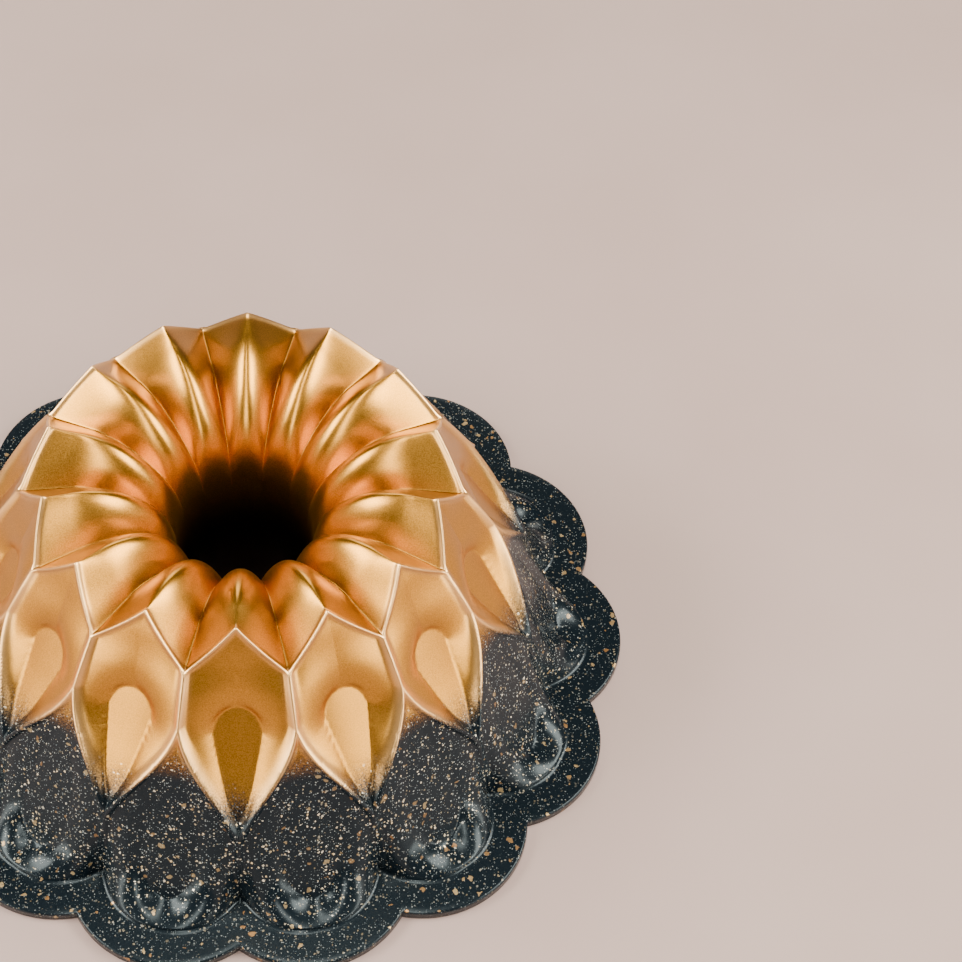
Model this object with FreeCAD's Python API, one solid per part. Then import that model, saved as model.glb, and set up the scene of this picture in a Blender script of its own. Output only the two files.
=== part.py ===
import FreeCAD, Part
import math
import os

# Cast ring-cake (bundt) pan, standing crown up on its rim flange as it does on a
# cooling rack.  Origin: on the table under the centre of the tube.  +Z: up.
# The pan is one die casting; its lacquer and granite coats are separate layers.
# Fourteen equal sectors surround the axis.  A sector is two mirrored halves, so
# every sculpted skin is worked out for one half: "across" runs 0 on the crest
# of a flute to 1 in the valley beside it.

DIMENSIONS = [
    ("sector_count", 14, "flutes, and petals in each row"),
    ("overall_diameter", 260, "over the tips of the rim scallops"),
    ("scallop_radius", 34.9, "of one rim scallop"),
    ("flange_thickness", 3.5, "rim flange"),
    ("casting_thickness", 3.2, "walls, crown and tube"),
    ("coat_build", 0.35, "drawn build of each sprayed coat"),
    ("tube_end_height", 4, "open end of the tube above the table"),
    ("tube_bore_radius", 18, "straight land at the open end"),
    ("tube_bore_length", 12, "straight land at the open end"),
    ("throat_radius", 23.1, "where the flutes run out in the tube"),
    ("corner_height", 85.5, "low corners of the crown's zigzag edge"),
    ("corner_radius", 72.2, "low corners of the crown's zigzag edge"),
    ("peak_height", 100.7, "high corners of the zigzag edge"),
    ("peak_radius", 64.4, "high corners of the zigzag edge"),
    ("valley_shoulder_radius", 54.2, "where a valley turns down to the throat"),
    ("valley_shoulder_height", 87.7, "where a valley turns down to the throat"),
    ("crest_shoulder_radius", 56.3, "where a crest turns down to the throat"),
    ("crest_shoulder_height", 99.9, "where a crest turns down to the throat"),
    ("crest_drop", 40.4, "from crest shoulder to throat"),
    ("wall_flare", 0.624, "radius gained per height just under the corners"),
    ("wall_curl", 0.00225, "loss of flare per height"),
    ("bend_reach", 8, "half height of the bend in the wall's slope at the corners"),
    ("split_depth", 17.3, "below the corners, where a petal border forks"),
    ("tip_depth", 55, "below the corners, tip of an upper petal"),
    ("coat_line_depth", 30.3, "below the corners, where gold meets granite"),
    ("upper_dish_top", 13, "below the corners, dished floor of an upper petal"),
    ("upper_dish_waist", 21.5, "below the corners, widest place of that floor"),
    ("upper_dish_end", 51, "below the corners, end of that floor's tail"),
    ("upper_dish_half_width", 8.2, "dished floor of an upper petal"),
    ("upper_dish_depth", 5.2, "dished floor of an upper petal"),
    ("lower_dish_top", 30, "below the corners, dished floor of a lower petal"),
    ("lower_dish_end", 79.4, "below the corners, dished floor of a lower petal"),
    ("lower_dish_half_width", 9.4, "dished floor of a lower petal"),
    ("lower_dish_depth", 3, "dished floor of a lower petal"),
    ("foot_flare_start", 36.1, "below the corners, where the lower petals flare out"),
    ("petal_base_centre", 96.7, "centre of a lower petal's round foot"),
    ("petal_base_radius", 23.2, "of a lower petal's round foot"),
    ("petal_step", 1, "edge of a lower petal above the flange"),
    ("bead_height", 0.9, "raised border of the petals"),
    ("bead_half_width", 1.4, "raised border of the petals"),
    ("coat_lip_height", 0.5, "lower edge of the outer coat above the table"),
]

# Control net of one half sector
COLUMNS = 23
TUBE_ROWS = 4
THROAT_ROWS = 16
SHOULDER_ROWS = 6
UPPER_WALL_ROWS = 34
LOWER_WALL_ROWS = 44
PATH_STEPS = 16
DEGREE = 3

# Unitless shape factors
SHOULDER_ROUNDNESS = 0.35
ROUNDNESS_POWER = 1.4
WALL_LENGTH_PER_HEIGHT = 1.1
FOOT_FLARE_POWER = 2.2
DISH_STEEPNESS = 1.7
FLOOR_FADE_POWER = 2.5
TAIL_POWER = 0.65
TONGUE_PEAK = 1.5 * math.sqrt(3)
ROW_CROWDING = 1.5
LEAN_POWER = 4
EDGE_LEAN_POWER = 3
WALL_LEAN = (0.88, 0.47)
EDGE_LEAN = (0.55, 1.0)
FOOT_LEAN = (1.0, 1.0)
FRONT_TURN = -90.0
SEW_TOLERANCE = 0.001
SMALL = 1e-9
NAME_LIMIT = 60


def make_sheet(document):
    """Put every driving dimension in a spreadsheet under its alias."""
    sheet = document.addObject("Spreadsheet::Sheet", "Dimensions")
    for row, (alias, value, note) in enumerate(DIMENSIONS, start=1):
        sheet.set("A%d" % row, alias)
        sheet.set("B%d" % row, str(value))
        sheet.set("C%d" % row, note)
        sheet.setAlias("B%d" % row, alias)
    document.recompute()
    return sheet


document = FreeCAD.newDocument("bundt_pan")
sheet = make_sheet(document)
size = {alias: float(sheet.get(alias)) for alias, value, note in DIMENSIONS}
sectors = int(size["sector_count"])
half_angle = math.pi / sectors
scallop_centre = size["overall_diameter"] / 2 - size["scallop_radius"]
wall_height = size["corner_height"] - size["flange_thickness"]


def mix(low, high, share):
    """Point or number a share of the way from low to high."""
    if isinstance(low, tuple):
        return tuple(mix(first, second, share) for first, second in zip(low, high))
    return low + (high - low) * share


def clamp(value):
    return max(0.0, min(1.0, value))


def ease(share):
    """Smooth step from 0 to 1."""
    share = clamp(share)
    return share * share * (3 - 2 * share)


# ---- crown and tube -------------------------------------------------------------

def tube_rows(batter_side):
    """Rows from the tube's open end, or on the hole side from just above its straight land."""
    land_top = size["tube_end_height"] + size["tube_bore_length"]
    throat = size["valley_shoulder_height"] - size["valley_shoulder_radius"] + size["throat_radius"]
    stretches = [((size["tube_bore_radius"], land_top), (size["throat_radius"], throat))]
    if batter_side:
        stretches.insert(0, ((size["tube_bore_radius"], size["tube_end_height"]),
                             (size["tube_bore_radius"], land_top)))
    rows = []
    for low, high in stretches:
        for index in range(TUBE_ROWS):
            point = mix(low, high, index / TUBE_ROWS)
            rows.append((point, point, 1.0, (-1.0, 0.0)))
    return rows if batter_side else rows[1:]


def shoulder_line(shoulder, drop, edge, section, share):
    """Point on a valley or crest line: a quarter ellipse, then straight to the edge."""
    if section == "throat":
        angle = share * math.pi / 2
        reach = shoulder[0] - size["throat_radius"]
        return (shoulder[0] - reach * math.cos(angle), shoulder[1] - drop * (1 - math.sin(angle)))
    return mix(shoulder, edge, share)


def valley_point(section, share):
    shoulder = (size["valley_shoulder_radius"], size["valley_shoulder_height"])
    drop = size["valley_shoulder_radius"] - size["throat_radius"]
    edge = (size["corner_radius"], size["corner_height"])
    return shoulder_line(shoulder, drop, edge, section, share)


def crest_point(section, share):
    shoulder = (size["crest_shoulder_radius"], size["crest_shoulder_height"])
    edge = (size["peak_radius"], size["peak_height"])
    return shoulder_line(shoulder, size["crest_drop"], edge, section, share)


def crown_rows(batter_side):
    """Valley point, crest point, roundness and outward lean of each crown row."""
    rows = tube_rows(batter_side)
    for index in range(THROAT_ROWS):
        share = index / THROAT_ROWS
        lean = (-math.cos(share * math.pi / 2), math.sin(share * math.pi / 2))
        roundness = 1 - (1 - SHOULDER_ROUNDNESS) * share ** 2
        rows.append((valley_point("throat", share), crest_point("throat", share), roundness, lean))
    for index in range(SHOULDER_ROWS + 1):
        share = index / SHOULDER_ROWS
        lean = mix((0.0, 1.0), EDGE_LEAN, share)
        roundness = SHOULDER_ROUNDNESS * (1 - share) ** ROUNDNESS_POWER
        rows.append((valley_point("shoulder", share), crest_point("shoulder", share), roundness, lean))
    return rows


def flute_point(valley, crest, roundness, across):
    """Point between a crest and a valley: a round lobe inside, a straight facet at the edge."""
    radius, height = mix(crest, valley, across ** (1 + roundness))
    angle = across * half_angle
    return (radius * math.cos(angle), radius * math.sin(angle), height)


def crown_net(offset):
    """Control net of the crown and tube, moved out by offset."""
    net = []
    for valley, crest, roundness, lean in crown_rows(offset < 0):
        valley = (valley[0] + lean[0] * offset, valley[1] + lean[1] * offset)
        crest = (crest[0] + lean[0] * offset, crest[1] + lean[1] * offset)
        net.append([flute_point(valley, crest, roundness, column / (COLUMNS - 1))
                    for column in range(COLUMNS)])
    return net


# ---- petal wall -----------------------------------------------------------------

def wall_radius(depth):
    """Radius of the smooth wall at a depth below the low corners."""
    lean = (size["corner_radius"] - size["peak_radius"]) / (size["peak_height"] - size["corner_height"])
    below = size["wall_flare"] - size["wall_curl"] * depth
    bend = ease((depth + size["bend_reach"]) / (2 * size["bend_reach"]))
    return size["corner_radius"] + mix(lean, below, bend) * depth


def foot_radius(across):
    """Radius of a lower petal's round foot."""
    angle = (1 - across) * half_angle
    side = size["petal_base_centre"] * math.sin(angle)
    return size["petal_base_centre"] * math.cos(angle) + math.sqrt(size["petal_base_radius"] ** 2 - side ** 2)


def petal_radius(across, depth):
    """Wall radius with the flare of the lower petals' feet."""
    start = size["foot_flare_start"]
    share = clamp((depth - start) / (wall_height - start)) ** FOOT_FLARE_POWER
    return wall_radius(depth) + (foot_radius(across) - wall_radius(wall_height)) * share


def fork_across(depth):
    """Place of the S-shaped border between the petal rows, below the fork."""
    share = clamp((depth - size["split_depth"]) / (size["tip_depth"] - size["split_depth"]))
    return mix(1 - share, (1 + math.cos(math.pi * share)) / 2, 0.5)


def chart(across, depth):
    """Lay the wall out flat: distance from the crest azimuth, and down the wall."""
    return (across * half_angle * wall_radius(depth), depth * WALL_LENGTH_PER_HEIGHT)


def border_paths():
    """Raised borders of one half sector, laid out flat."""
    rise = size["peak_height"] - size["corner_height"]
    steps = [index / PATH_STEPS for index in range(PATH_STEPS + 1)]
    fork = [mix(size["split_depth"], size["tip_depth"], share) for share in steps]
    edge = [chart(share, -rise * (1 - share)) for share in steps]
    stem = [chart(1, 0), chart(1, size["split_depth"])]
    branch = [chart(fork_across(depth), depth) for depth in fork]
    seam = [chart(0, size["tip_depth"]), chart(0, wall_height)]
    foot = [chart(share, wall_height - size["petal_step"]) for share in steps]
    return [edge, stem + branch + seam], [foot]


def distance_to_segment(point, start, end):
    along = (end[0] - start[0], end[1] - start[1])
    length = along[0] ** 2 + along[1] ** 2
    share = clamp(((point[0] - start[0]) * along[0] + (point[1] - start[1]) * along[1]) / max(length, SMALL))
    return math.hypot(point[0] - start[0] - along[0] * share, point[1] - start[1] - along[1] * share)


def distance_to_paths(point, paths):
    return min(distance_to_segment(point, start, end)
               for path in paths for start, end in zip(path, path[1:]))


def upper_dish_half_width(depth):
    """Half width of the drop-shaped floor in an upper petal: round top, tail to the tip."""
    waist = size["upper_dish_waist"]
    if depth < waist:
        head = clamp((waist - depth) / (waist - size["upper_dish_top"]))
        return size["upper_dish_half_width"] * math.sqrt(1 - head * head)
    tail = clamp((size["upper_dish_end"] - depth) / (size["upper_dish_end"] - waist))
    return size["upper_dish_half_width"] * tail ** TAIL_POWER


def lower_dish_half_width(depth):
    """Half width of the tongue-shaped floor in a lower petal: pointed top, round end."""
    share = clamp((depth - size["lower_dish_top"]) / (size["lower_dish_end"] - size["lower_dish_top"]))
    return size["lower_dish_half_width"] * TONGUE_PEAK * share * math.sqrt(1 - share)


def dish_paths():
    """Outlines of the two dished floors, laid out flat, with their axis on the left."""
    upper = []
    lower = []
    for index in range(2 * PATH_STEPS + 1):
        share = (1 - math.cos(math.pi * index / (2 * PATH_STEPS))) / 2
        depth = mix(size["upper_dish_top"], size["upper_dish_end"], share)
        upper.append((upper_dish_half_width(depth), depth * WALL_LENGTH_PER_HEIGHT))
        depth = mix(size["lower_dish_top"], size["lower_dish_end"], share)
        lower.append((lower_dish_half_width(depth), depth * WALL_LENGTH_PER_HEIGHT))
    return [upper], [lower]


borders, feet = border_paths()
upper_dish, lower_dish = dish_paths()


def dish_share(point, depth, outline, half_width, to_border):
    """1 on a dish's floor, falling to 0 at the petal's border, steepest beside the floor."""
    outside = 0.0 if point[0] < half_width(depth) else distance_to_paths(point, outline)
    return (1 - outside / max(outside + to_border, SMALL)) ** DISH_STEEPNESS


def upper_wall_radius(point, depth, rim, to_border):
    """Radius inside an upper petal, dished below the rim."""
    top = size["upper_dish_top"]
    down = clamp((depth - top) / (size["upper_dish_end"] - top))
    floor = rim - size["upper_dish_depth"] * (1 - down ** FLOOR_FADE_POWER)
    return mix(rim, floor, dish_share(point, depth, upper_dish, upper_dish_half_width, to_border))


def lower_wall_radius(point, depth, rim, to_border):
    """Radius inside a lower petal, dished below the rim down to its lip."""
    from_axis = (chart(1, depth)[0] - point[0], point[1])
    down = clamp((depth - size["split_depth"]) / (size["lower_dish_end"] - size["split_depth"]))
    floor = min(rim, wall_radius(depth) - size["lower_dish_depth"] * math.sin(math.pi * down))
    to_border = min(to_border, distance_to_paths(point, feet))
    return mix(rim, floor, dish_share(from_axis, depth, lower_dish, lower_dish_half_width, to_border))


def wall_surface_radius(across, depth):
    """Radius of the sculpted wall: dished petals between raised beads."""
    point = chart(across, depth)
    to_border = distance_to_paths(point, borders)
    bead = size["bead_height"] * math.exp(-(to_border / size["bead_half_width"]) ** 2)
    rim = petal_radius(across, depth) - size["bead_height"]
    upper = depth < size["split_depth"] or across < fork_across(depth) and depth < size["tip_depth"]
    inside = upper_wall_radius if upper else lower_wall_radius
    return inside(point, depth, rim, to_border) + bead


def wall_net(section, offset, foot_height):
    """Control net of the wall above or below the coat line, moved out by offset."""
    rows = UPPER_WALL_ROWS if section == "upper" else LOWER_WALL_ROWS
    rise = size["peak_height"] - size["corner_height"]
    net = []
    for row in range(rows + 1):
        line = []
        for column in range(COLUMNS):
            across = column / (COLUMNS - 1)
            if section == "upper":
                share = row / rows
                depth = mix(-rise * (1 - across), size["coat_line_depth"], share)
                lean = mix(WALL_LEAN, EDGE_LEAN, (1 - share) ** EDGE_LEAN_POWER)
            else:
                share = 1 - (1 - row / rows) ** ROW_CROWDING
                depth = mix(size["coat_line_depth"], wall_height, share)
                lean = mix(WALL_LEAN, FOOT_LEAN, share ** LEAN_POWER)
            radius = wall_surface_radius(across, depth) + lean[0] * offset
            height = size["corner_height"] - depth + lean[1] * offset
            angle = across * half_angle
            line.append((radius * math.cos(angle), radius * math.sin(angle), height))
        net.append(line)
    if section == "upper":
        net[0] = crown_net(offset)[-1]
    else:
        net[-1] = [(point[0], point[1], foot_height) for point in net[-1]]
    return net


# ---- building skins from control nets -------------------------------------------

def clamped_knots(count):
    """Knots and multiplicities of a clamped uniform spline with count poles."""
    spans = count - DEGREE
    knots = [index / spans for index in range(spans + 1)]
    repeats = [DEGREE + 1] + [1] * (spans - 1) + [DEGREE + 1]
    return knots, repeats


def patch(net):
    """Spline face over a control net."""
    poles = [[FreeCAD.Vector(*point) for point in line] for line in net]
    row_knots, row_repeats = clamped_knots(len(poles))
    column_knots, column_repeats = clamped_knots(len(poles[0]))
    surface = Part.BSplineSurface()
    surface.buildFromPolesMultsKnots(poles, row_repeats, column_repeats, row_knots, column_knots,
                                     False, False, DEGREE, DEGREE)
    return surface.toShape()


def line_curve(line):
    """Spline edge that bounds a patch along one row of its net."""
    knots, repeats = clamped_knots(len(line))
    curve = Part.BSplineCurve()
    curve.buildFromPolesMultsKnots([FreeCAD.Vector(*point) for point in line], repeats, knots, False, DEGREE)
    return curve.toShape()


def ring(shapes):
    """Mirror half-sector shapes and repeat them around the axis."""
    copies = []
    for shape in shapes:
        mirrored = shape.mirror(FreeCAD.Vector(0, 0, 0), FreeCAD.Vector(0, 1, 0))
        for half in (shape, mirrored):
            for sector in range(sectors):
                copy = half.copy()
                turn = FRONT_TURN + 360.0 * sector / sectors
                copy.rotate(FreeCAD.Vector(0, 0, 0), FreeCAD.Vector(0, 0, 1), turn)
                copies.append(copy)
    return copies


def bridge(first, second):
    """Ruled face between matching rows of two skins."""
    return Part.makeRuledSurface(line_curve(first), line_curve(second))


def tube_arc(height):
    """Half sector's arc of the straight bore at a height."""
    return Part.makeCircle(size["tube_bore_radius"], FreeCAD.Vector(0, 0, height),
                           FreeCAD.Vector(0, 0, 1), 0, math.degrees(half_angle))


def scallop_arcs(offset, height):
    """The rim's outline: one round scallop in front of every valley."""
    radius = size["scallop_radius"] + offset
    reach = scallop_centre * math.sin(half_angle)
    notch = scallop_centre * math.cos(half_angle) + math.sqrt(radius ** 2 - reach ** 2)
    tip = scallop_centre + radius
    arcs = []
    for sector in range(sectors):
        middle = math.radians(FRONT_TURN) + (2 * sector + 1) * half_angle
        points = [(notch, middle - half_angle), (tip, middle), (notch, middle + half_angle)]
        corners = [FreeCAD.Vector(r * math.cos(a), r * math.sin(a), height) for r, a in points]
        arcs.append(Part.Arc(*corners).toShape())
    return arcs


def flange_face(offset, height, inner_line):
    """Flat ring from a skin's foot out to the scallops."""
    outer = Part.Wire(Part.__sortEdges__(scallop_arcs(offset, height)))
    inner = Part.Wire(Part.__sortEdges__(ring([line_curve(inner_line)])))
    return Part.makeFace([outer, inner], "Part::FaceMakerBullseye")


def rim_side(offset, low, high):
    """Upright faces of the scalloped rim."""
    return [arc.extrude(FreeCAD.Vector(0, 0, high - low)) for arc in scallop_arcs(offset, low)]


def solid_from(faces):
    """Sew faces into one closed solid that faces outward."""
    shell = Part.makeShell(faces)
    shell.sewShape(SEW_TOLERANCE)
    if shell.ShapeType != "Shell":
        shell = shell.Shells[0]
    solid = Part.makeSolid(shell)
    if solid.Volume < 0:
        solid.reverse()
    return solid


def add_piece(name, faces):
    """Document object for one layer of the pan."""
    piece = document.addObject("Part::Feature", name)
    piece.Label = name
    piece.Shape = solid_from(faces)
    piece.Placement = FreeCAD.Placement()
    return piece


coat = size["coat_build"]
thickness = size["casting_thickness"]
flange = size["flange_thickness"]
lip = size["coat_lip_height"]


def skins(offset, foot_height):
    """The three nets of one skin: crown and tube, upper wall, lower wall."""
    return (crown_net(offset), wall_net("upper", offset, foot_height), wall_net("lower", offset, foot_height))


def build_casting():
    """The one-piece casting: tube, fluted crown, petalled wall and rim flange."""
    outer = skins(0.0, flange)
    inner = skins(-thickness, 0.0)
    mouth = tube_arc(size["tube_end_height"])
    land_top = tube_arc(size["tube_end_height"] + size["tube_bore_length"])
    halves = [patch(net) for net in outer + inner]
    halves.append(mouth.extrude(FreeCAD.Vector(0, 0, size["tube_bore_length"])))
    halves.append(Part.makeRuledSurface(mouth, line_curve(inner[0][0])))
    halves.append(Part.makeRuledSurface(land_top, line_curve(outer[0][0])))
    faces = ring(halves)
    faces.append(flange_face(0.0, flange, outer[2][-1]))
    faces.append(flange_face(0.0, 0.0, inner[2][-1]))
    faces += rim_side(0.0, 0.0, flange)
    return add_piece("pan_casting", faces)


def build_gold_coat():
    """Metallic lacquer outside the tube, crown and upper petals."""
    below = skins(0.0, flange)
    above = skins(coat, flange + coat)
    halves = [patch(net) for net in below[:2] + above[:2]]
    halves.append(bridge(below[0][0], above[0][0]))
    halves.append(bridge(below[1][-1], above[1][-1]))
    return add_piece("gold_lacquer_coat", ring(halves))


def build_granite_coat():
    """Speckled black coat outside the lower petals, over the flange and its edge."""
    below = skins(0.0, flange)
    above = skins(coat, flange + coat)
    halves = [patch(below[2]), patch(above[2]), bridge(below[2][0], above[2][0])]
    faces = ring(halves)
    faces.append(flange_face(0.0, flange, below[2][-1]))
    faces.append(flange_face(coat, flange + coat, above[2][-1]))
    faces += rim_side(0.0, lip, flange)
    faces += rim_side(coat, lip, flange + coat)
    outer = Part.Wire(Part.__sortEdges__(scallop_arcs(coat, lip)))
    inner = Part.Wire(Part.__sortEdges__(scallop_arcs(0.0, lip)))
    faces.append(Part.makeFace([outer, inner], "Part::FaceMakerBullseye"))
    return add_piece("granite_outer_coat", faces)


def build_release_coat():
    """Speckled non-stick coat on the whole batter side."""
    metal = skins(-thickness, 0.0)
    batter = skins(-thickness - coat, 0.0)
    halves = [patch(net) for net in metal + batter]
    halves.append(bridge(metal[0][0], batter[0][0]))
    faces = ring(halves)
    faces += ring([bridge(metal[2][-1], batter[2][-1])])
    return add_piece("granite_release_coat", faces)


pieces = [build_casting(), build_gold_coat(), build_granite_coat(), build_release_coat()]
document.recompute()

os.makedirs("parts", exist_ok=True)
for piece in pieces:
    if "Invalid" in piece.State or "Error" in piece.State:
        raise RuntimeError("%s did not recompute" % piece.Label)
    if piece.Shape.isNull() or not piece.Shape.isValid():
        raise RuntimeError("%s has a bad shape" % piece.Label)
    if len(piece.Label) >= NAME_LIMIT:
        raise RuntimeError("%s is too long a name" % piece.Label)
    piece.Shape.exportStep("parts/%s.step" % piece.Label)
    print(piece.Label, len(piece.Shape.Faces), round(piece.Shape.Volume), piece.Shape.BoundBox)
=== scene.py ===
import math

import bpy
import numpy as np
from mathutils import Matrix, Vector


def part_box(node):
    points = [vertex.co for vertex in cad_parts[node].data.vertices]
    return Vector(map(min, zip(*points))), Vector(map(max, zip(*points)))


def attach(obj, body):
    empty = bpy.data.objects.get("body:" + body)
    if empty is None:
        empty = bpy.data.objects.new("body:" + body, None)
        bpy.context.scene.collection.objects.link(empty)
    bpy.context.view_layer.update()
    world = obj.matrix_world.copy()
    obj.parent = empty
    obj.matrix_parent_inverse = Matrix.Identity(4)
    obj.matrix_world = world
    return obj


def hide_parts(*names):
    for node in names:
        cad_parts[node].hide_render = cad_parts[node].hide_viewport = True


# Looks of the cast ring-cake pan.  Every sculpted skin is one grid of rings, worked
# out for half a sector and repeated around the axis.  "across" runs from 0 on the
# crest of a flute to 1 in the valley beside it; "depth" is measured down from the low
# corners of the zigzag edge.  Grids hold radius, angle and height, in millimetres
# until a mesh is made.

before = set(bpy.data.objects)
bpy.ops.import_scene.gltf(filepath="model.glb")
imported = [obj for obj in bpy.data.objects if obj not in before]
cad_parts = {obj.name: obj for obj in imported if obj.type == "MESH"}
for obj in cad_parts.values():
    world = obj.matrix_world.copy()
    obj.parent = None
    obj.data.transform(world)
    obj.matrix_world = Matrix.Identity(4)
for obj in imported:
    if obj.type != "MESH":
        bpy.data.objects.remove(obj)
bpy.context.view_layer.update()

MM = 0.001
SECTORS = 14
HALF_ANGLE = math.pi / SECTORS
casting_high = np.array(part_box("pan_casting")[1]) / MM
gold_high = np.array(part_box("gold_lacquer_coat")[1]) / MM
granite_low = np.array(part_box("granite_outer_coat")[0]) / MM

# Driving sizes of the casting and its coats
COAT = gold_high[2] - casting_high[2]
WALL = 3.2
FLANGE = 3.5
FLANGE_ROUNDING = 0.8
SCALLOP_RADIUS = 34.9
SCALLOP_CENTRE = casting_high[0] - SCALLOP_RADIUS
CORNER = (72.2, 85.5)
PEAK = (64.4, casting_high[2])
VALLEY_SHOULDER = (54.2, 87.7)
CREST_SHOULDER = (56.3, 99.9)
CREST_DROP = 40.4
CREST_ROUNDING = (0.035, 0.22)
VALLEY_ROUNDING = 0.03
SHOULDER_ROUNDNESS = 0.2
ROUNDNESS_POWER = 1.4
THROAT_RADIUS = 23.1
BORE_RADIUS = 18.0
BORE_LENGTH = 12.0
TUBE_END = 4.0
WALL_HEIGHT = CORNER[1] - FLANGE
WALL_FLARE = 0.624
WALL_CURL = 0.00225
BEND_REACH = 8.0
SPLIT_DEPTH = 17.3
TIP_DEPTH = 55.0
COAT_LINE = 30.3
LENGTH_PER_HEIGHT = 1.1
FOOT_FLARE_START = 36.1
FOOT_FLARE_POWER = 2.2
FOOT_CENTRE = 96.7
FOOT_RADIUS = 23.2
PETAL_STEP = 1.0
UPPER_DISH = {"top": 14.0, "waist": 22.5, "end": 51.0, "half_width": 8.2, "depth": 5.2}
LOWER_DISH = {"top": 30.0, "end": 79.4, "half_width": 9.4, "depth": 3.0}
DISH_STEEPNESS = 1.7
FLOOR_FADE_POWER = 2.5
TAIL_POWER = 0.65
TONGUE_FULLNESS = 2.6
BORDER_JOIN_POWER = 2.5
BEAD_HEIGHT = 1.7
BEAD_WIDTH = 1.35
CROWN_BEAD_SHARE = 0.7
CROWN_BEAD_FADE = 12.0
EDGE_SOFTENING = 2.2
EDGE_HOLD_POWER = 40
LAND_FILM = 0.05
CASTING_SET_BACK = 0.1
SMALL_GAP = 1e-6
RELAX_REACH = 2.5
RELAX_ROUNDS = 110

# Outward and upward parts of the direction in which a coat thickens
LEAN_EDGE = (0.55, 1.0)
LEAN_WALL = (0.88, 0.47)
LEAN_FOOT = (1.0, 1.0)
EDGE_LEAN_POWER = 3
FOOT_LEAN_POWER = 4

# The spray starts and ends at these depths in lower and in upper petals
SPRAY_START = (19.0, 33.0)
SPRAY_END = (36.0, 50.0)
SPRAY_BORDER = 0.16
SPRAY_TIP_FADE = 6
# Painted shade: the gold is darkened to near black in the tube, inwards of this radius and below this height.
TUBE_PAINTED_SHADE = {"radius": 26.0, "inwards": 3.0, "height": 70.0, "downwards": 30.0}
# Width of the painted highlight that makes the gold paler along the beads.
BEAD_HIGHLIGHT_WIDTH = 1.2 * BEAD_WIDTH

# Camera: place in metres, turn to the right, down and over in degrees, and lens
CAMERA_PLACE = (0.03175, -0.50127, 0.73523)
CAMERA_TURN = (5.148, 51.979, 4.434)
CAMERA_LENS = 94.44

# Steps in the grid of one half sector, crowded towards the ends by these powers
COLUMNS = 37
TUBE_ROWS = 8
THROAT_ROWS = 36
SHOULDER_ROWS = 30
UPPER_ROWS = 90
LOWER_ROWS = 90
FLANGE_ROWS = 8
EDGE_ROWS = 6
SHOULDER_CROWDING = 1.8
UPPER_CROWDING = 1.2
LOWER_CROWDING = 1.5
PATH_STEPS = 33
DISH_STEPS = 49
EDGE_ROW = TUBE_ROWS + THROAT_ROWS + SHOULDER_ROWS - 1
COAT_ROW = EDGE_ROW + UPPER_ROWS


def blend(low, high, share):
    """Value a share of the way from low to high."""
    return low + (high - low) * share


def smooth(share):
    """Step from 0 to 1 that starts and ends level."""
    share = np.clip(share, 0.0, 1.0)
    return share * share * (3.0 - 2.0 * share)


# ---- shape of one half sector ---------------------------------------------------

def spread(count):
    """Even steps drawn towards both ends, where the crests and valleys are."""
    even = np.linspace(0.0, 1.0, count)
    eased = (1 - np.cos(math.pi * even)) / 2
    return blend(even, eased, 0.5)


ACROSS = spread(COLUMNS)
ANGLES = ACROSS * HALF_ANGLE


def rounded_ramp(across, crest_rounding):
    """0 on the crest to 1 in the valley, with both corners slightly rounded."""
    def raw(value):
        return np.hypot(value, crest_rounding) - np.hypot(1 - value, VALLEY_ROUNDING)
    low = raw(np.zeros(1))
    high = raw(np.ones(1))
    return (raw(across) - low) / (high - low)


def flute_row(valley, crest, roundness):
    """Row from crest to valley: a round lobe inside, a straight facet at the edge."""
    ramp = rounded_ramp(ACROSS, blend(*CREST_ROUNDING, roundness ** 2)) ** (1 + roundness)
    return np.stack([blend(crest[0], valley[0], ramp), ANGLES, blend(crest[1], valley[1], ramp)], -1)


def throat_point(shoulder, drop, share):
    """Point on the quarter ellipse by which a crest or valley turns into the tube."""
    angle = share * math.pi / 2
    reach = shoulder[0] - THROAT_RADIUS
    return (shoulder[0] - reach * math.cos(angle), shoulder[1] - drop * (1 - math.sin(angle)))


def crown_lines():
    """Valley point, crest point, roundness and outward lean of each crown row."""
    drop = VALLEY_SHOULDER[0] - THROAT_RADIUS
    throat = VALLEY_SHOULDER[1] - drop
    land_top = TUBE_END + BORE_LENGTH
    rows = []
    for share in np.linspace(0.0, 1.0, TUBE_ROWS, endpoint=False):
        point = (blend(BORE_RADIUS, THROAT_RADIUS, share), blend(land_top, throat, share))
        rows.append((point, point, 1.0, (-1.0, 0.0)))
    for share in np.linspace(0.0, 1.0, THROAT_ROWS, endpoint=False):
        angle = share * math.pi / 2
        valley = throat_point(VALLEY_SHOULDER, drop, share)
        crest = throat_point(CREST_SHOULDER, CREST_DROP, share)
        roundness = 1 - (1 - SHOULDER_ROUNDNESS) * share ** 2
        rows.append((valley, crest, roundness, (-math.cos(angle), math.sin(angle))))
    for even in np.linspace(0.0, 1.0, SHOULDER_ROWS):
        share = 1 - (1 - even) ** SHOULDER_CROWDING
        valley = tuple(blend(a, b, share) for a, b in zip(VALLEY_SHOULDER, CORNER))
        crest = tuple(blend(a, b, share) for a, b in zip(CREST_SHOULDER, PEAK))
        roundness = SHOULDER_ROUNDNESS * (1 - share) ** ROUNDNESS_POWER
        rows.append((valley, crest, roundness, (LEAN_EDGE[0] * share, LEAN_EDGE[1])))
    return rows


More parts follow.
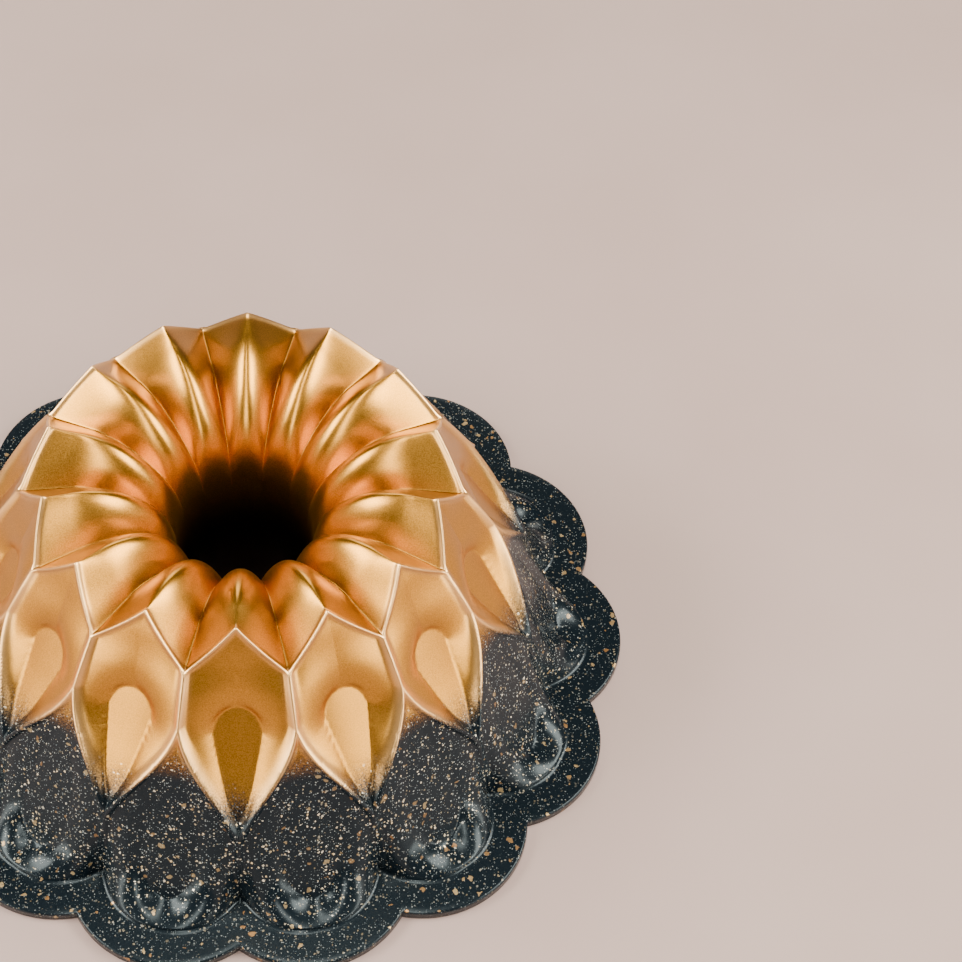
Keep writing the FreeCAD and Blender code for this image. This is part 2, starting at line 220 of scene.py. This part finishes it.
def crown_grid(offset):
    """Rows from the tube's land over the flutes, set in behind the bead along the edge."""
    rows = []
    edge = flute_row(CORNER, PEAK, 0.0)
    for valley, crest, roundness, lean in crown_lines():
        row = flute_row(valley, crest, roundness)
        to_edge = np.hypot(edge[:, 0] - row[:, 0], edge[:, 2] - row[:, 2])
        outward = smooth((row[:, 0] - THROAT_RADIUS) / CROWN_BEAD_FADE)
        beside_bead = 1 - np.exp(-(to_edge / BEAD_WIDTH) ** 2)
        row[:, 2] -= BEAD_HEIGHT * CROWN_BEAD_SHARE * beside_bead * outward
        row[:, 0] += lean[0] * offset
        row[:, 2] += lean[1] * offset
        rows.append(row)
    return np.stack(rows)


def wall_radius(depth):
    """Radius of the smooth wall at a depth below the low corners."""
    lean = (CORNER[0] - PEAK[0]) / (PEAK[1] - CORNER[1])
    slope = blend(lean, WALL_FLARE - WALL_CURL * depth, smooth(depth / (2 * BEND_REACH) + 0.5))
    return CORNER[0] + slope * depth


def scallop_radius(angle, centre, radius):
    """Reach from the axis to a circle about a point at a centre distance, at an angle from it."""
    return centre * np.cos(angle) + np.sqrt(radius ** 2 - (centre * np.sin(angle)) ** 2)


def foot_radius(across):
    """Radius of a lower petal's round foot."""
    return scallop_radius((1 - across) * HALF_ANGLE, FOOT_CENTRE, FOOT_RADIUS)


def petal_radius(across, depth):
    """Wall radius with the flare of the lower petals' feet."""
    down = np.clip((depth - FOOT_FLARE_START) / (WALL_HEIGHT - FOOT_FLARE_START), 0, 1)
    flare = foot_radius(across) - wall_radius(WALL_HEIGHT)
    return wall_radius(depth) + flare * down ** FOOT_FLARE_POWER


def fork_across(depth):
    """Place of the S-shaped border between the petal rows, below the fork."""
    share = np.clip((depth - SPLIT_DEPTH) / (TIP_DEPTH - SPLIT_DEPTH), 0, 1)
    return blend(1 - share, (1 + np.cos(math.pi * share)) / 2, 0.5)


def chart(across, depth):
    """Lay the wall out flat: distance from the crest azimuth, and down the wall."""
    across, depth = np.broadcast_arrays(np.asarray(across, float), np.asarray(depth, float))
    return np.stack([across * HALF_ANGLE * wall_radius(depth), depth * LENGTH_PER_HEIGHT], -1)


def distance_to_path(points, path):
    """Shortest distance from every point to a run of straight steps."""
    best = np.full(points.shape[:-1], np.inf)
    for start, end in zip(path[:-1], path[1:]):
        along = end - start
        share = np.clip(((points - start) @ along) / max(along @ along, SMALL_GAP), 0, 1)
        gap = np.linalg.norm(points - start - share[..., None] * along, axis=-1)
        best = np.minimum(best, gap)
    return best


def border_paths():
    """The zigzag edge, the forked seam and the foot of the petals, laid out flat."""
    steps = np.linspace(0, 1, PATH_STEPS)
    edge = chart(steps, (CORNER[1] - PEAK[1]) * (1 - steps))
    forks = blend(SPLIT_DEPTH, TIP_DEPTH, (1 - np.cos(math.pi * steps)) / 2)
    seam = np.concatenate([chart(1, np.array([0.0, SPLIT_DEPTH])), chart(fork_across(forks), forks),
                           chart(0, np.array([TIP_DEPTH, WALL_HEIGHT]))])
    foot = chart(steps, WALL_HEIGHT - PETAL_STEP)
    return edge, seam, foot


def upper_dish_width(depth):
    """Half width of the drop-shaped floor in an upper petal: round top, tail to the tip."""
    dish = UPPER_DISH
    head = np.clip((dish["waist"] - depth) / (dish["waist"] - dish["top"]), 0, 1)
    tail = np.clip((dish["end"] - depth) / (dish["end"] - dish["waist"]), 0, 1)
    return dish["half_width"] * np.where(depth < dish["waist"], np.sqrt(1 - head ** 2), tail ** TAIL_POWER)


def lower_dish_width(depth):
    """Half width of the tongue-shaped floor in a lower petal: pointed top, round end."""
    dish = LOWER_DISH
    share = np.clip((depth - dish["top"]) / (dish["end"] - dish["top"]), 0, 1)
    return dish["half_width"] * TONGUE_FULLNESS * share * np.sqrt(1 - share)


def outside_dish(points, depth, dish, width):
    """Distance outside a dish's floor, 0 on the floor."""
    steps = (1 - np.cos(np.linspace(0, math.pi, DISH_STEPS))) / 2
    depths = blend(dish["top"], dish["end"], steps)
    path = np.stack([width(depths), depths * LENGTH_PER_HEIGHT], -1)
    inside = points[..., 0] < width(depth)
    return np.where(inside, 0.0, distance_to_path(points, path))


def relax(field, depth, hold):
    """Even out a grid of values by repeated averaging, not at all where hold is 1."""
    steps = np.diff(depth, axis=0)
    above = np.pad(steps, ((1, 0), (0, 0)), mode="edge")
    below = np.pad(steps, ((0, 1), (0, 0)), mode="edge")
    for _ in range(RELAX_ROUNDS):
        wide = np.pad(field, 1, mode="reflect")
        down = (wide[:-2, 1:-1] * below + wide[2:, 1:-1] * above) / (above + below)
        sideways = (wide[1:-1, :-2] + wide[1:-1, 2:]) / 2
        field = blend((down + sideways) / 2, field, hold)
    return field


def sculpted_radius(across, depth):
    """Radius of the sculpted wall on a grid of places."""
    points = chart(across, depth)
    edge, seam, foot = border_paths()
    to_edge = distance_to_path(points, edge)
    to_seam = distance_to_path(points, seam)
    bead = BEAD_HEIGHT * np.exp(-(np.minimum(to_edge, to_seam) / BEAD_WIDTH) ** 2)
    nearness = sum(np.maximum(gap, SMALL_GAP) ** -BORDER_JOIN_POWER for gap in (to_edge, to_seam))
    to_border = nearness ** (-1 / BORDER_JOIN_POWER)
    rim = petal_radius(across, depth) - BEAD_HEIGHT

    gap = outside_dish(points, depth, UPPER_DISH, upper_dish_width)
    share = gap / np.maximum(gap + to_border, SMALL_GAP)
    down = np.clip((depth - UPPER_DISH["top"]) / (UPPER_DISH["end"] - UPPER_DISH["top"]), 0, 1)
    upper_wall = rim - UPPER_DISH["depth"] * (1 - down ** FLOOR_FADE_POWER) * (1 - share) ** DISH_STEEPNESS

    mirrored = np.stack([chart(1, depth)[..., 0] - points[..., 0], points[..., 1]], -1)
    gap = outside_dish(mirrored, depth, LOWER_DISH, lower_dish_width)
    share = gap / np.maximum(gap + np.minimum(to_border, distance_to_path(points, foot)), SMALL_GAP)
    down = np.clip((depth - SPLIT_DEPTH) / (LOWER_DISH["end"] - SPLIT_DEPTH), 0, 1)
    floor = np.minimum(wall_radius(depth) - LOWER_DISH["depth"] * np.sin(math.pi * down), rim)
    lower_wall = blend(floor, rim, 1 - (1 - share) ** DISH_STEEPNESS)

    upper = (depth < SPLIT_DEPTH) | ((across < fork_across(depth)) & (depth < TIP_DEPTH))
    to_dish = np.where(upper, outside_dish(points, depth, UPPER_DISH, upper_dish_width), 0.0)
    hold = 1 - smooth(np.minimum(to_border, to_dish) / RELAX_REACH)
    return rim + relax(np.where(upper, upper_wall, lower_wall) - rim, depth, hold) + bead


def wall_grid(offset):
    """Rows from the zigzag edge down to the foot of the petals."""
    edge = flute_row(CORNER, PEAK, 0.0)
    share = np.linspace(0.0, 1.0, UPPER_ROWS, endpoint=False)[:, None] ** UPPER_CROWDING
    near_edge = (1 - share) ** EDGE_LEAN_POWER
    near_foot = 1 - np.linspace(1.0, 0.0, LOWER_ROWS)[:, None] ** LOWER_CROWDING
    depth = np.concatenate([blend(CORNER[1] - edge[:, 2], COAT_LINE, share),
                            np.broadcast_to(blend(COAT_LINE, WALL_HEIGHT, near_foot), (LOWER_ROWS, COLUMNS))])
    leans = []
    for on_wall, at_edge, at_foot in zip(LEAN_WALL, LEAN_EDGE, LEAN_FOOT):
        lower_lean = blend(on_wall, at_foot, near_foot ** FOOT_LEAN_POWER)
        leans.append(np.concatenate([blend(on_wall, at_edge, near_edge), lower_lean]))
    radius = sculpted_radius(ACROSS, depth)
    radius[:UPPER_ROWS] = blend(radius[:UPPER_ROWS], edge[:, 0], near_edge ** EDGE_HOLD_POWER)
    angles = np.broadcast_to(ANGLES, radius.shape)
    return np.stack([radius + leans[0] * offset, angles, CORNER[1] - depth + leans[1] * offset], -1)


def flange_grid(foot, offset):
    """Rows from the petals' feet over the flange and down its rounded edge."""
    rim = scallop_radius(HALF_ANGLE - ANGLES, SCALLOP_CENTRE, SCALLOP_RADIUS + offset)
    top = FLANGE + offset
    rows = []
    for share in np.linspace(0.0, 1.0, FLANGE_ROWS)[1:]:
        rows.append((blend(foot[:, 0], rim - FLANGE_ROUNDING, share), top))
    for turn in np.linspace(0.0, math.pi / 2, EDGE_ROWS)[1:]:
        inset = FLANGE_ROUNDING * (1 - math.sin(turn))
        fall = FLANGE_ROUNDING * (1 - math.cos(turn))
        rows.append((rim - inset, top - fall))
    rows.append((rim, granite_low[2]))
    rows.append((rim - offset, granite_low[2]))
    return np.stack([np.stack([reach, ANGLES, np.full(COLUMNS, height)], -1) for reach, height in rows])


def soften_edge(grid, edge_row):
    """Round the zigzag edge over: near it, each profile follows a smooth bend."""
    for column in range(COLUMNS):
        profile = grid[:, column]
        steps = np.hypot(*np.diff(profile[:, ::2], axis=0).T)
        along = np.concatenate([[0.0], np.cumsum(steps)])
        along -= along[edge_row]
        ends = [np.array([np.interp(side * EDGE_SOFTENING, along, profile[:, axis]) for axis in range(3)])
                for side in (-1, 1)]
        near = np.abs(along) < EDGE_SOFTENING
        share = (along[near, None] / EDGE_SOFTENING + 1) / 2
        corner = profile[edge_row].copy()
        bend = (1 - share) ** 2 * ends[0] + 2 * share * (1 - share) * corner + share ** 2 * ends[1]
        grid[near, column] = bend
    return grid


# ---- meshes ---------------------------------------------------------------------

def full_ring(grid):
    """Repeat a half sector's grid, crest at -Y, into rings around the axis in metres."""
    mirrored = grid[:, ::-1].copy()
    mirrored[..., 1] = 2 * HALF_ANGLE - mirrored[..., 1]
    sector = np.concatenate([grid[:, :-1], mirrored[:, :-1]], 1)
    ring = np.tile(sector, (1, SECTORS, 1))
    turns = np.repeat(np.arange(SECTORS), sector.shape[1]) * 2 * HALF_ANGLE - math.pi / 2
    radius, angle, height = ring[..., 0], ring[..., 1] + turns, ring[..., 2]
    return np.stack([radius * np.cos(angle), radius * np.sin(angle), height], -1) * MM


def ring_mesh(name, grid, marks=None, closed=False):
    """Mesh object over rings, smooth shaded, with an optional value for each point."""
    ring = full_ring(grid)
    rows, columns = ring.shape[:2]
    index = np.arange(rows * columns).reshape(rows, columns)
    if closed:
        index = np.concatenate([index, index[:1]])
    turned = np.roll(index, -1, 1)
    quads = np.stack([index[1:], turned[1:], turned[:-1], index[:-1]], -1).reshape(-1, 4)
    mesh = bpy.data.meshes.new(name)
    mesh.from_pydata(ring.reshape(-1, 3).tolist(), [], quads.tolist())
    mesh.shade_smooth()
    for label, values in (marks or {}).items():
        full = np.tile(np.concatenate([values[:, :-1], values[:, :0:-1]], 1), (1, SECTORS))
        attribute = mesh.attributes.new(label, "FLOAT", "POINT")
        attribute.data.foreach_set("value", full.reshape(-1))
    piece = bpy.data.objects.new(name, mesh)
    bpy.context.scene.collection.objects.link(piece)
    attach(piece, "root")
    return piece


def skin_grid(offset):
    """Crown and wall in one grid, moved outwards by an offset."""
    crown = crown_grid(offset)
    wall = wall_grid(offset)
    crown[-1] = wall[0]
    return np.concatenate([crown, wall[1:]])


def skin_marks(grid):
    """How far the spray covers the gold, the painted shade down the tube, and the painted highlight along the
    beads.
    """
    depth = CORNER[1] - grid[..., 2]
    beside_seam = smooth((fork_across(depth) - ACROSS) / SPRAY_BORDER + 0.5)
    upper = beside_seam * smooth((TIP_DEPTH - depth) / SPRAY_TIP_FADE)
    start = blend(*SPRAY_START, upper)
    end = blend(*SPRAY_END, upper)
    spray = smooth((depth - start) / (end - start))
    spray[:EDGE_ROW] = 0.0
    # Painted shade: darker towards the bottom of the tube, where shade falls.
    inwards = smooth((TUBE_PAINTED_SHADE["radius"] - grid[..., 0]) / TUBE_PAINTED_SHADE["inwards"])
    tube = inwards * smooth((TUBE_PAINTED_SHADE["height"] - grid[..., 2]) / TUBE_PAINTED_SHADE["downwards"])
    tube[EDGE_ROW:] = 0.0
    # Painted highlight: the gold turns paler cream near the beads.
    points = chart(ACROSS, depth)
    edge, seam, _ = border_paths()
    to_bead = np.minimum(distance_to_path(points, edge), distance_to_path(points, seam))
    from_edge = grid[:EDGE_ROW] - grid[EDGE_ROW]
    to_bead[:EDGE_ROW] = np.hypot(from_edge[..., 0], from_edge[..., 2])
    return {"spray": spray, "tube": tube, "bead": np.exp(-(to_bead / BEAD_HIGHLIGHT_WIDTH) ** 2)}


def build_outer_coats():
    """The gold lacquer down to the coat line, and the granite enamel below it."""
    grid = soften_edge(skin_grid(COAT), EDGE_ROW)
    marks = skin_marks(grid)
    land = grid[:1].copy()
    land[..., 0] = BORE_RADIUS - LAND_FILM
    land[..., 2] = TUBE_END
    upper = np.concatenate([land, grid[:COAT_ROW + 1]])
    upper_marks = {}
    for label, values in marks.items():
        upper_marks[label] = np.concatenate([values[:1], values[:COAT_ROW + 1]])
    gold = ring_mesh("gold_lacquer_skin", upper, upper_marks)
    flange = flange_grid(grid[-1], COAT)
    lower = np.concatenate([grid[COAT_ROW:], flange])
    lower_marks = {}
    for label, on_flange in (("spray", 1.0), ("tube", 0.0), ("bead", 0.0)):
        rest = np.full(flange.shape[:2], on_flange)
        lower_marks[label] = np.concatenate([marks[label][COAT_ROW:], rest])
    granite = ring_mesh("granite_outer_skin", lower, lower_marks)
    return gold, granite


def build_batter_side():
    """Skin of the batter side, from the tube's land to the rim."""
    grid = skin_grid(-WALL - COAT)[::-2, ::2]
    grid[..., 2] = np.maximum(grid[..., 2], 0.0)
    land = grid[-1].copy()
    land[:, 2] = TUBE_END
    foot = grid[0].copy()
    foot[:, 2] = 0.0
    return ring_mesh("granite_release_skin", np.concatenate([foot[None], grid, land[None]]))


def build_casting():
    """The bare metal that shows: tube land and end, flange underside and rim."""
    outer = soften_edge(skin_grid(-COAT), EDGE_ROW)[::2]
    inner = skin_grid(-WALL)[::-2]
    land = np.stack([np.stack([np.full(COLUMNS, BORE_RADIUS), ANGLES, np.full(COLUMNS, height)], -1)
                     for height in (TUBE_END, TUBE_END + BORE_LENGTH)])
    flange = flange_grid(outer[-1], 0.0)
    flange[-2:, :, 2] = 0.0
    flange[:FLANGE_ROWS - 1, :, 2] -= CASTING_SET_BACK
    inner[:, :, 2] = np.maximum(inner[:, :, 2], 0.0)
    inner[0, :, 2] = 0.0
    end = inner[-1:].copy()
    end[..., 2] = TUBE_END
    grid = np.concatenate([land, outer, flange[:-1], inner, end])
    return ring_mesh("casting_body", grid[:, ::2], closed=True)


# ---- materials ------------------------------------------------------------------

def new_material(name):
    """Empty node material, with its tree, its output and the object's coordinates."""
    material = bpy.data.materials.new(name)
    material.use_nodes = True
    tree = material.node_tree
    tree.nodes.clear()
    output = tree.nodes.new("ShaderNodeOutputMaterial")
    place = tree.nodes.new("ShaderNodeTexCoord").outputs["Object"]
    return material, tree, output, place


def math_node(tree, operation, first, second=0.0, clamp=False):
    node = tree.nodes.new("ShaderNodeMath")
    node.operation = operation
    node.use_clamp = clamp
    for socket, value in zip((0, 1), (first, second)):
        if isinstance(value, (int, float)):
            node.inputs[socket].default_value = value
        else:
            tree.links.new(value, node.inputs[socket])
    return node.outputs[0]


def map_range(tree, value, from_low, from_high, to_low=0.0, to_high=1.0):
    node = tree.nodes.new("ShaderNodeMapRange")
    tree.links.new(value, node.inputs["Value"])
    names = ("From Min", "From Max", "To Min", "To Max")
    for name, number in zip(names, (from_low, from_high, to_low, to_high)):
        node.inputs[name].default_value = number
    return node.outputs[0]


def mix_color(tree, share, first, second):
    node = tree.nodes.new("ShaderNodeMix")
    node.data_type = "RGBA"
    tree.links.new(share, node.inputs["Factor"])
    for socket, value in ((6, first), (7, second)):
        if isinstance(value, tuple):
            node.inputs[socket].default_value = (*value, 1.0)
        else:
            tree.links.new(value, node.inputs[socket])
    return node.outputs[2]


def noise(tree, place, scale, detail=1.0):
    node = tree.nodes.new("ShaderNodeTexNoise")
    node.inputs["Scale"].default_value = scale
    node.inputs["Detail"].default_value = detail
    tree.links.new(place, node.inputs["Vector"])
    return node


def attribute_value(tree, label):
    node = tree.nodes.new("ShaderNodeAttribute")
    node.attribute_name = label
    return node.outputs["Fac"]


def bump(tree, shader, height, strength, distance):
    node = tree.nodes.new("ShaderNodeBump")
    node.inputs["Strength"].default_value = strength
    node.inputs["Distance"].default_value = distance
    tree.links.new(height, node.inputs["Height"])
    tree.links.new(node.outputs[0], shader.inputs["Normal"])


def specks(tree, place, scale, cover):
    """Mask of ragged specks, at most one in each cell, and a random value for each."""
    wobble = noise(tree, place, scale * 1.6, 2.0)
    shift = tree.nodes.new("ShaderNodeVectorMath")
    shift.operation = "MULTIPLY_ADD"
    tree.links.new(wobble.outputs["Color"], shift.inputs[0])
    shift.inputs[1].default_value = (0.9 / scale,) * 3
    tree.links.new(place, shift.inputs[2])
    cells = tree.nodes.new("ShaderNodeTexVoronoi")
    cells.inputs["Scale"].default_value = scale
    tree.links.new(shift.outputs[0], cells.inputs["Vector"])
    split = tree.nodes.new("ShaderNodeSeparateColor")
    tree.links.new(cells.outputs["Color"], split.inputs[0])
    size = map_range(tree, split.outputs[0], 1 - cover, 1.0, 0.0, 0.40)
    edge = math_node(tree, "SUBTRACT", size, cells.outputs["Distance"])
    return math_node(tree, "DIVIDE", edge, 0.06, clamp=True), split.outputs[1]


def gold_shader(tree, place, tube, bead):
    """Satin gold with a fine grain, with a painted highlight that makes the beads paler and painted shade
    that makes the tube dark.
    """
    gold = tree.nodes.new("ShaderNodeBsdfPrincipled")
    grain = noise(tree, place, 2600.0).outputs["Fac"]
    tone = map_range(tree, grain, 0.3, 0.7)
    color = mix_color(tree, tone, (0.42, 0.195, 0.022), (0.62, 0.30, 0.042))
    # Painted highlight: paler cream gold along the beads.
    color = mix_color(tree, math_node(tree, "MULTIPLY", bead, 0.8), color, (0.95, 0.60, 0.26))
    # Painted shade: near black down the tube.
    color = mix_color(tree, tube, color, (0.012, 0.006, 0.004))
    tree.links.new(color, gold.inputs["Base Color"])
    gold.inputs["Metallic"].default_value = 1.0
    tree.links.new(map_range(tree, grain, 0.3, 0.7, 0.28, 0.34), gold.inputs["Roughness"])
    bump(tree, gold, grain, 0.1, 0.0001)
    return gold


def granite_shader(tree, place):
    """Gloss black enamel with pale and gold specks, larger and sparser on the flange."""
    granite = tree.nodes.new("ShaderNodeBsdfPrincipled")
    parts = tree.nodes.new("ShaderNodeSeparateXYZ")
    tree.links.new(place, parts.inputs[0])
    wall = map_range(tree, parts.outputs["Z"], 0.0045, 0.0075)
    fine, fine_tone = specks(tree, place, 1500.0, 0.70)
    middle, middle_tone = specks(tree, place, 850.0, 0.65)
    large, large_tone = specks(tree, place, 380.0, 0.30)
    patch = noise(tree, place, 130.0, 2.0).outputs["Fac"]
    fine = math_node(tree, "MULTIPLY", fine, map_range(tree, wall, 0.0, 1.0, 0.25, 0.4))
    middle = math_node(tree, "MULTIPLY", middle, map_range(tree, wall, 0.0, 1.0, 0.22, 1.0))
    middle = math_node(tree, "MULTIPLY", middle, map_range(tree, patch, 0.38, 0.60))
    large = math_node(tree, "MULTIPLY", large, map_range(tree, wall, 0.0, 1.0, 0.8, 0.35))
    color = (0.003, 0.006, 0.009)
    for mask, tone, dull, bright in ((fine, fine_tone, (0.18, 0.23, 0.26), (0.72, 0.76, 0.72)),
                                     (middle, middle_tone, (0.80, 0.62, 0.34), (0.92, 0.88, 0.74)),
                                     (large, large_tone, (0.34, 0.17, 0.06), (0.60, 0.44, 0.22))):
        color = mix_color(tree, mask, color, mix_color(tree, tone, dull, bright))
    tree.links.new(color, granite.inputs["Base Color"])
    flake = math_node(tree, "MAXIMUM", middle, large)
    tree.links.new(map_range(tree, flake, 0.0, 1.0, 0.0, 0.7), granite.inputs["Metallic"])
    granite.inputs["Roughness"].default_value = 0.24
    granite.inputs["Specular IOR Level"].default_value = 0.25
    granite.inputs["Specular Tint"].default_value = (0.75, 0.92, 1.0, 1.0)
    bump(tree, granite, flake, 0.25, 0.0001)
    return granite


def sprayed_finish():
    """Gold lacquer that breaks up through a spray of dots into black granite enamel."""
    material, tree, output, place = new_material("sprayed_finish")
    spray = attribute_value(tree, "spray")
    # The tube value carries painted shade and the bead value a painted highlight.
    gold = gold_shader(tree, place, attribute_value(tree, "tube"), attribute_value(tree, "bead"))
    granite = granite_shader(tree, place)
    dots = noise(tree, place, 1900.0, 2.0).outputs["Fac"]
    drift = noise(tree, place, 90.0, 2.0).outputs["Fac"]
    rough = math_node(tree, "ADD", map_range(tree, dots, 0.3, 0.7, -0.32, 0.32),
                      map_range(tree, drift, 0.3, 0.7, -0.12, 0.12))
    middle = math_node(tree, "MULTIPLY", spray, math_node(tree, "SUBTRACT", 1.0, spray))
    share = math_node(tree, "ADD", spray, math_node(tree, "MULTIPLY", rough, math_node(
        tree, "MULTIPLY", middle, 4.0)), clamp=True)
    mixer = tree.nodes.new("ShaderNodeMixShader")
    tree.links.new(share, mixer.inputs[0])
    tree.links.new(gold.outputs[0], mixer.inputs[1])
    tree.links.new(granite.outputs[0], mixer.inputs[2])
    tree.links.new(mixer.outputs[0], output.inputs["Surface"])
    return material


def release_finish():
    """Satin black non-stick with fine grey specks."""
    material, tree, output, place = new_material("granite_release")
    shader = tree.nodes.new("ShaderNodeBsdfPrincipled")
    fine, fine_tone = specks(tree, place, 1100.0, 0.40)
    middle, middle_tone = specks(tree, place, 520.0, 0.18)
    color = mix_color(tree, fine, (0.014, 0.014, 0.015), (0.16, 0.16, 0.15))
    color = mix_color(tree, middle, color, (0.42, 0.40, 0.35))
    tree.links.new(color, shader.inputs["Base Color"])
    grain = noise(tree, place, 1500.0, 2.0).outputs["Fac"]
    tree.links.new(map_range(tree, grain, 0.3, 0.7, 0.42, 0.56), shader.inputs["Roughness"])
    bump(tree, shader, grain, 0.3, 0.0001)
    tree.links.new(shader.outputs[0], output.inputs["Surface"])
    return material


def cast_finish():
    """Fine cast aluminium, slightly mottled."""
    material, tree, output, place = new_material("cast_metal")
    shader = tree.nodes.new("ShaderNodeBsdfPrincipled")
    mottle = noise(tree, place, 220.0, 4.0).outputs["Fac"]
    grain = noise(tree, place, 1800.0, 2.0).outputs["Fac"]
    color = mix_color(tree, map_range(tree, mottle, 0.35, 0.65), (0.50, 0.50, 0.51), (0.62, 0.62, 0.63))
    tree.links.new(color, shader.inputs["Base Color"])
    shader.inputs["Metallic"].default_value = 1.0
    tree.links.new(map_range(tree, grain, 0.3, 0.7, 0.36, 0.52), shader.inputs["Roughness"])
    bump(tree, shader, grain, 0.35, 0.0002)
    tree.links.new(shader.outputs[0], output.inputs["Surface"])
    return material


def dress(piece, node, material):
    """Give a piece its material, and hide the CAD node that it stands for."""
    piece.data.materials.append(material)
    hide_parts(node)


# ---- floor, light and camera ----------------------------------------------------

def make_floor():
    """Plain pale floor, faintly clouded."""
    mesh = bpy.data.meshes.new("floor")
    reach = 4.0
    corners = [(-reach, -reach, 0), (reach, -reach, 0), (reach, reach, 0), (-reach, reach, 0)]
    mesh.from_pydata(corners, [], [(0, 1, 2, 3)])
    floor = bpy.data.objects.new("floor", mesh)
    bpy.context.scene.collection.objects.link(floor)
    material, tree, output, place = new_material("pale_floor")
    shader = tree.nodes.new("ShaderNodeBsdfPrincipled")
    cloud = noise(tree, place, 8.0, 3.0).outputs["Fac"]
    color = mix_color(tree, map_range(tree, cloud, 0.3, 0.7), (0.34, 0.25, 0.23), (0.37, 0.28, 0.26))
    tree.links.new(color, shader.inputs["Base Color"])
    shader.inputs["Roughness"].default_value = 0.8
    tree.links.new(shader.outputs[0], output.inputs["Surface"])
    mesh.materials.append(material)


def softbox(name, place, target, size, power, color):
    """Rectangular area light at a place, aimed at a target."""
    data = bpy.data.lights.new(name, "AREA")
    data.shape = "RECTANGLE"
    data.size = size[0]
    data.size_y = size[1]
    data.energy = power
    data.color = color
    light = bpy.data.objects.new(name, data)
    light.location = place
    aim = Vector(target) - Vector(place)
    light.rotation_euler = aim.to_track_quat("-Z", "Y").to_euler()
    bpy.context.scene.collection.objects.link(light)


def make_lights():
    """Softboxes high and low on both sides, strips overhead and in front, a box behind."""
    warm = (1.0, 0.93, 0.82)
    for name, side in (("left_softbox", -1), ("right_softbox", 1)):
        softbox(name, (side * 0.78, -0.06, 0.66), (0.0, -0.04, 0.08), (0.80, 0.42), 21.0, warm)
    for name, side in (("left_low_box", -1), ("right_low_box", 1)):
        softbox(name, (side * 0.85, -0.48, 0.10), (0.0, 0.0, 0.07), (1.00, 0.14), 6.5, warm)
    softbox("overhead_strip", (0.0, -0.10, 1.20), (0.0, 0.0, 0.08), (0.18, 0.95), 9.0, warm)
    softbox("front_strip", (0.0, -0.94, 0.80), (0.0, 0.0, 0.08), (0.16, 0.85), 8.0, warm)
    softbox("back_box", (0.0, 1.05, 0.50), (0.0, 0.0, 0.10), (0.70, 0.55), 6.0, warm)
    world = bpy.data.worlds.new("studio")
    world.use_nodes = True
    background = world.node_tree.nodes["Background"]
    background.inputs["Color"].default_value = (0.34, 0.30, 0.29, 1.0)
    background.inputs["Strength"].default_value = 0.03
    bpy.context.scene.world = world


def make_camera():
    """Camera in front of the pan that looks down on its crown."""
    data = bpy.data.cameras.new("photo_camera")
    data.lens = CAMERA_LENS
    data.sensor_width = 36.0
    data.clip_start = 0.01
    data.clip_end = 20.0
    camera = bpy.data.objects.new("photo_camera", data)
    yaw, pitch, roll = (math.radians(angle) for angle in CAMERA_TURN)
    forward = Vector((math.sin(yaw) * math.cos(pitch), math.cos(yaw) * math.cos(pitch), -math.sin(pitch)))
    level = Vector((math.cos(yaw), -math.sin(yaw), 0.0))
    upright = level.cross(forward)
    right = level * math.cos(roll) + upright * math.sin(roll)
    up = upright * math.cos(roll) - level * math.sin(roll)
    turn = Matrix((right, up, -forward)).transposed().to_4x4()
    camera.matrix_world = Matrix.Translation(CAMERA_PLACE) @ turn
    bpy.context.scene.collection.objects.link(camera)
    bpy.context.scene.camera = camera


outer_finish = sprayed_finish()
gold_skin, granite_skin = build_outer_coats()
dress(gold_skin, "gold_lacquer_coat", outer_finish)
dress(granite_skin, "granite_outer_coat", outer_finish)
dress(build_batter_side(), "granite_release_coat", release_finish())
dress(build_casting(), "pan_casting", cast_finish())
make_floor()
make_lights()
make_camera()
